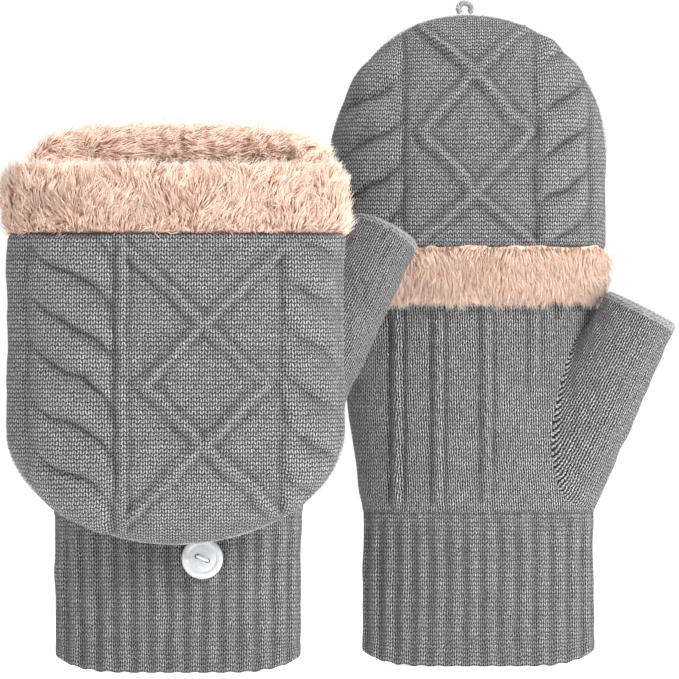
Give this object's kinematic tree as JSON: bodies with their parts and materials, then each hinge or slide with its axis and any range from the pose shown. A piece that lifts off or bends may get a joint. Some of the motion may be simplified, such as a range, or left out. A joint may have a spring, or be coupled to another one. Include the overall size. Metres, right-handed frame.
{
  "type": "convertible flip-top mittens",
  "caption": "Pair of knitted flip-top mittens: fingerless hands with thumbs, plush-lined caps that fold over the fingers, a tip loop and a sewn button near each wrist.",
  "frame": {"origin": "centre of the pair's footprint on the surface that the two cuffs stand on", "axes": "+Z from the cuffs up to the fingertips, +X across the pair towards the right mitten's thumb, -Y the side on which the left mitten shows the back of its hand and the right mitten its palm"},
  "size_m": [0.2446, 0.1482, 0.2462],
  "materials": {
    "rib_knit": "ribbed melange knit",
    "palm_knit": "fine melange knit",
    "thumb_knit": "ribbed melange knit",
    "cap_knit": "melange knit with cables",
    "edge_yarn": "bound knit edge",
    "seam_yarn": "linked yarn",
    "loop_yarn": "twisted yarn",
    "plush": "long-pile plush",
    "button_white": "pearl gloss",
    "sewing_thread": "spun thread"
  },
  "bodies": {
    "right_hand": {"right_cuff": "rib_knit", "right_hand_shell": "palm_knit", "right_hand_lining": "plush", "right_finger_band": "palm_knit", "right_finger_fur": "plush", "right_thumb_sleeve": "thumb_knit", "right_thumb_hem": "edge_yarn", "right_knuckle_seam": "seam_yarn"},
    "right_cap": {"right_cap_shell": "cap_knit", "right_cap_lining": "plush", "right_cap_fur_band": "plush", "right_crown_seam": "seam_yarn"},
    "right_button": {"right_button": "button_white", "right_button_thread": "sewing_thread"},
    "right_loop": {"right_button_loop": "loop_yarn"},
    "left_hand": {"left_cuff": "rib_knit", "left_hand_shell": "palm_knit", "left_hand_lining": "plush", "left_finger_band": "palm_knit", "left_finger_fur": "plush", "left_thumb_sleeve": "thumb_knit", "left_thumb_hem": "edge_yarn", "left_knuckle_seam": "seam_yarn"},
    "left_cap": {"left_cap_shell": "cap_knit", "left_cap_lining": "plush", "left_cap_fur_band": "plush", "left_crown_seam": "seam_yarn", "left_button_loop": "loop_yarn"},
    "left_button": {"left_button": "button_white", "left_button_thread": "sewing_thread"}
  },
  "joints": [
    {"name": "left_mitten_slide", "type": "slide", "parent": "right_hand", "child": "left_hand", "axis": [-1, 0, 0], "range_m": [0, 0.12]},
    {"name": "left_cap_flip", "type": "hinge", "parent": "left_hand", "child": "left_cap", "pos_m": [-0.0598, -0.0345, 0.155], "axis": [-1, 0, 0], "range_deg": [0, 180], "deforming": ["left_finger_band", "left_finger_fur", "left_button_loop"]},
    {"name": "right_cap_flip", "type": "hinge", "parent": "right_hand", "child": "right_cap", "pos_m": [0.0502, 0.0703, 0.15], "axis": [-1, 0, 0], "range_deg": [0, 180], "deforming": ["right_finger_band", "right_finger_fur"]},
    {"name": "left_button_tilt", "type": "hinge", "parent": "left_hand", "child": "left_button", "pos_m": [-0.0508, -0.033, 0.0417], "axis": [1, 0, 0], "range_deg": [-12, 12], "stiffness_Nm_per_rad": 0.002},
    {"name": "right_button_tilt", "type": "hinge", "parent": "right_hand", "child": "right_button", "pos_m": [0.0592, 0.0688, 0.05], "axis": [1, 0, 0], "range_deg": [-12, 12], "stiffness_Nm_per_rad": 0.002},
    {"name": "right_loop_swing", "type": "hinge", "parent": "right_cap", "child": "right_loop", "pos_m": [0.0463, 0.0537, 0.2406], "axis": [1, 0, 0], "range_deg": [-35, 35], "stiffness_Nm_per_rad": 0.0005}
  ]
}
